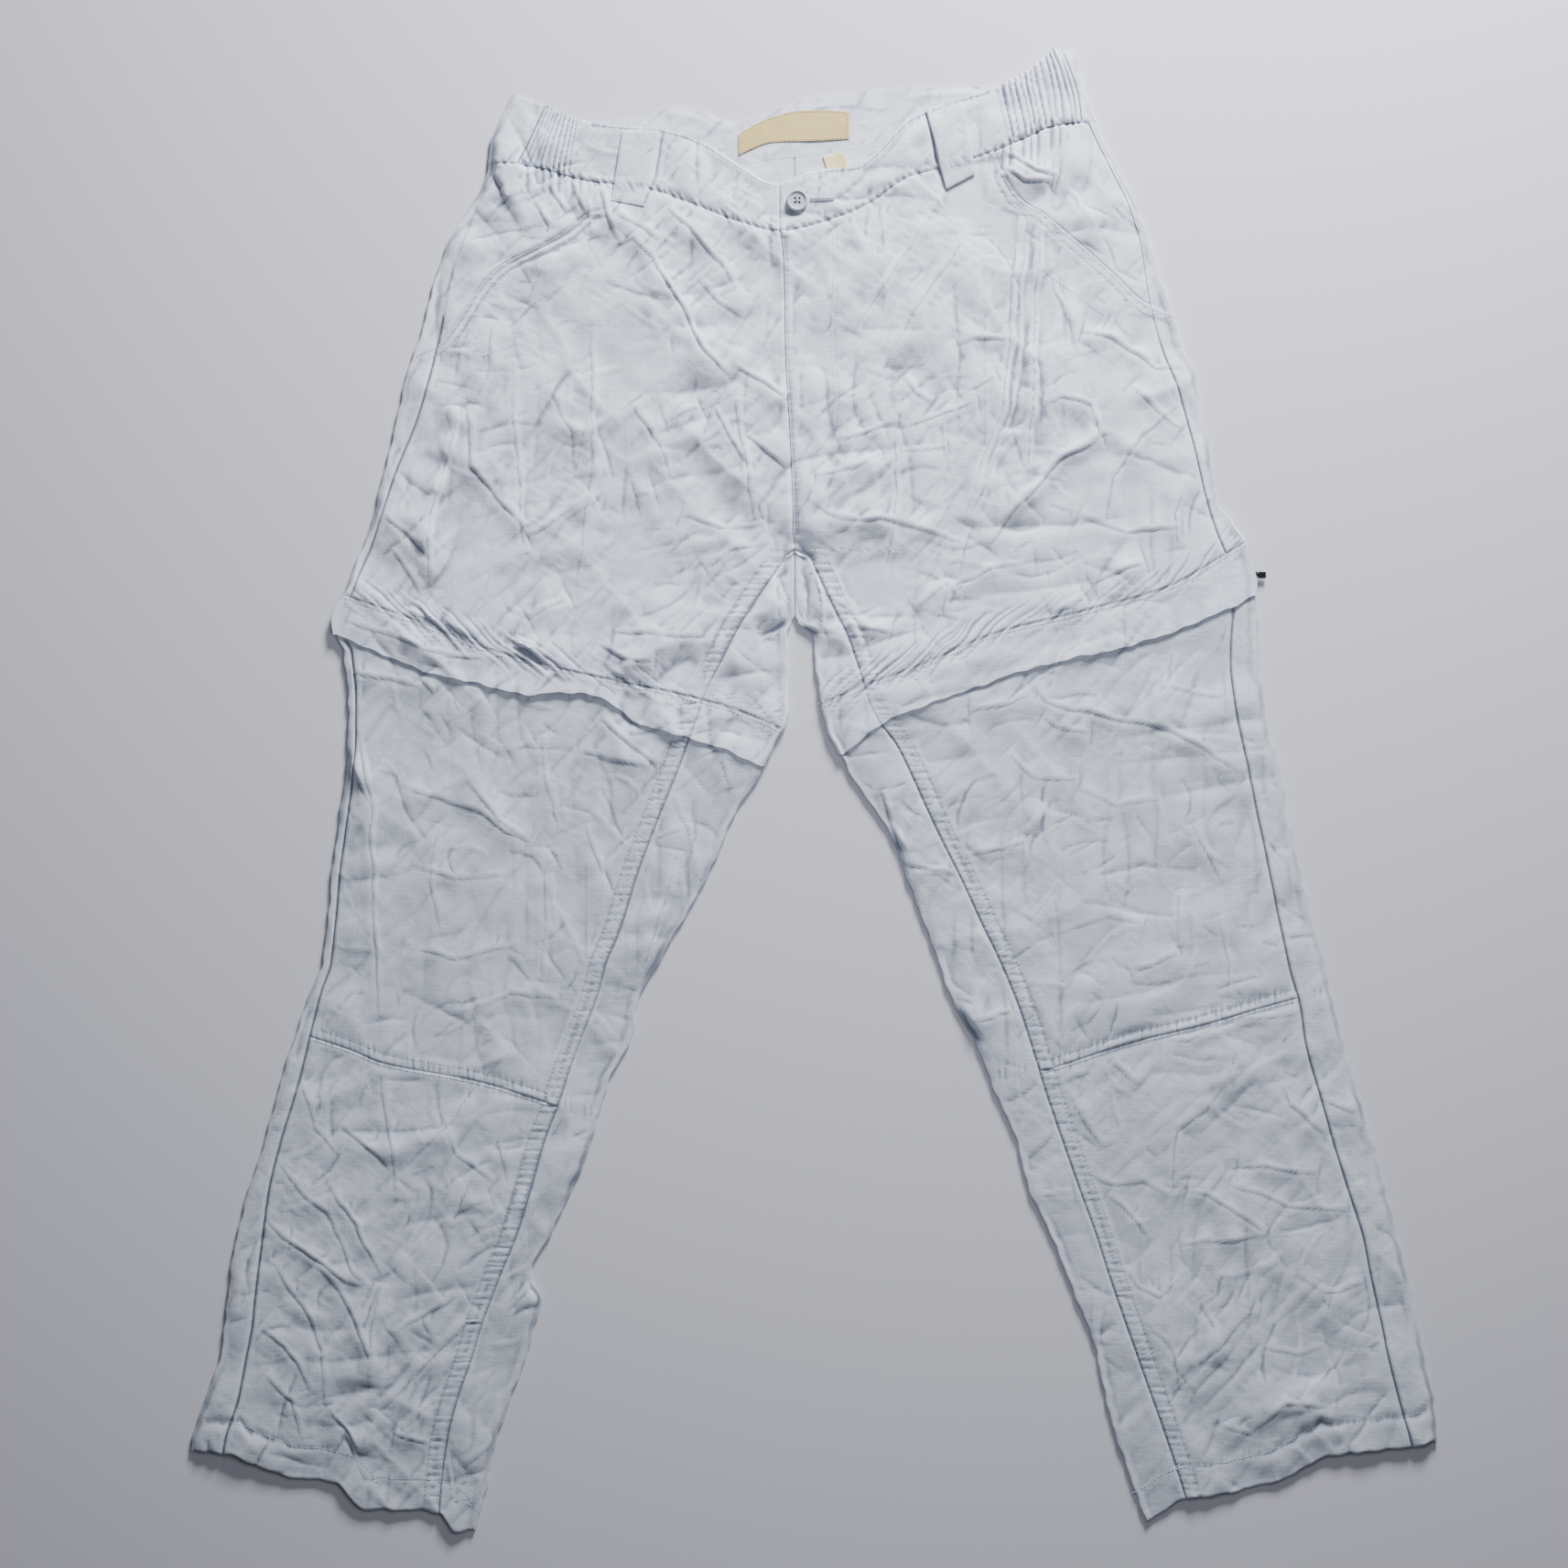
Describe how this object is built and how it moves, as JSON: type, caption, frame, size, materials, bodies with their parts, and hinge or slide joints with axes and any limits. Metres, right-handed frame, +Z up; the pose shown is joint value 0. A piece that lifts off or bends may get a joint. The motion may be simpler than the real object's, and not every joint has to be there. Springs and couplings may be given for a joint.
{
  "type": "convertible zip-off trousers",
  "caption": "Zip-off trousers in thin nylon, laid flat with the front up, with slanted pockets, part-elastic waist and flaps over the thigh zips.",
  "frame": {"origin": "on the surface that the garment lies on, under the middle of its bounding box", "axes": "+X to the right seen from above, towards the wearer's left leg; +Y towards the waist; +Z up out of the cloth"},
  "size_m": [0.9541, 1.1356, 0.0082],
  "materials": {
    "nylon": "thin plain-weave nylon, crumpled, slightly shiny",
    "zip_tape": "woven zip tape",
    "label": "cream woven label, bare",
    "button_plastic": "moulded, satin",
    "metal": "coated zinc",
    "dark_metal": "dark coated zinc"
  },
  "bodies": {
    "trousers": {"back_leg_L": "nylon", "back_leg_R": "nylon", "back_shorts_L": "nylon", "back_shorts_R": "nylon", "belt_loop_L": "nylon", "belt_loop_R": "nylon", "button": "button_plastic", "fly_zip": "zip_tape", "front_leg_lower_L": "nylon", "front_leg_lower_R": "nylon", "front_leg_upper_L": "nylon", "front_leg_upper_R": "nylon", "front_shorts_L": "nylon", "front_shorts_R": "nylon", "main_label": "label", "pocket_facing_L": "nylon", "pocket_facing_R": "nylon", "size_tag": "label", "thigh_zip_L": "zip_tape", "thigh_zip_R": "zip_tape", "waistband_back": "nylon", "waistband_front_L": "nylon", "waistband_front_R": "nylon", "zip_flap_L": "nylon", "zip_flap_R": "nylon", "zip_slider_L": "metal", "zip_slider_R": "metal"},
    "pull": {"zip_pull_L": "dark_metal"}
  },
  "joints": [
    {"name": "pull_lift", "type": "hinge", "parent": "trousers", "child": "pull", "pos_m": [0.33863, 0.16457, 0.0031], "axis": [0, -1, 0], "range_deg": [0, 90]}
  ]
}
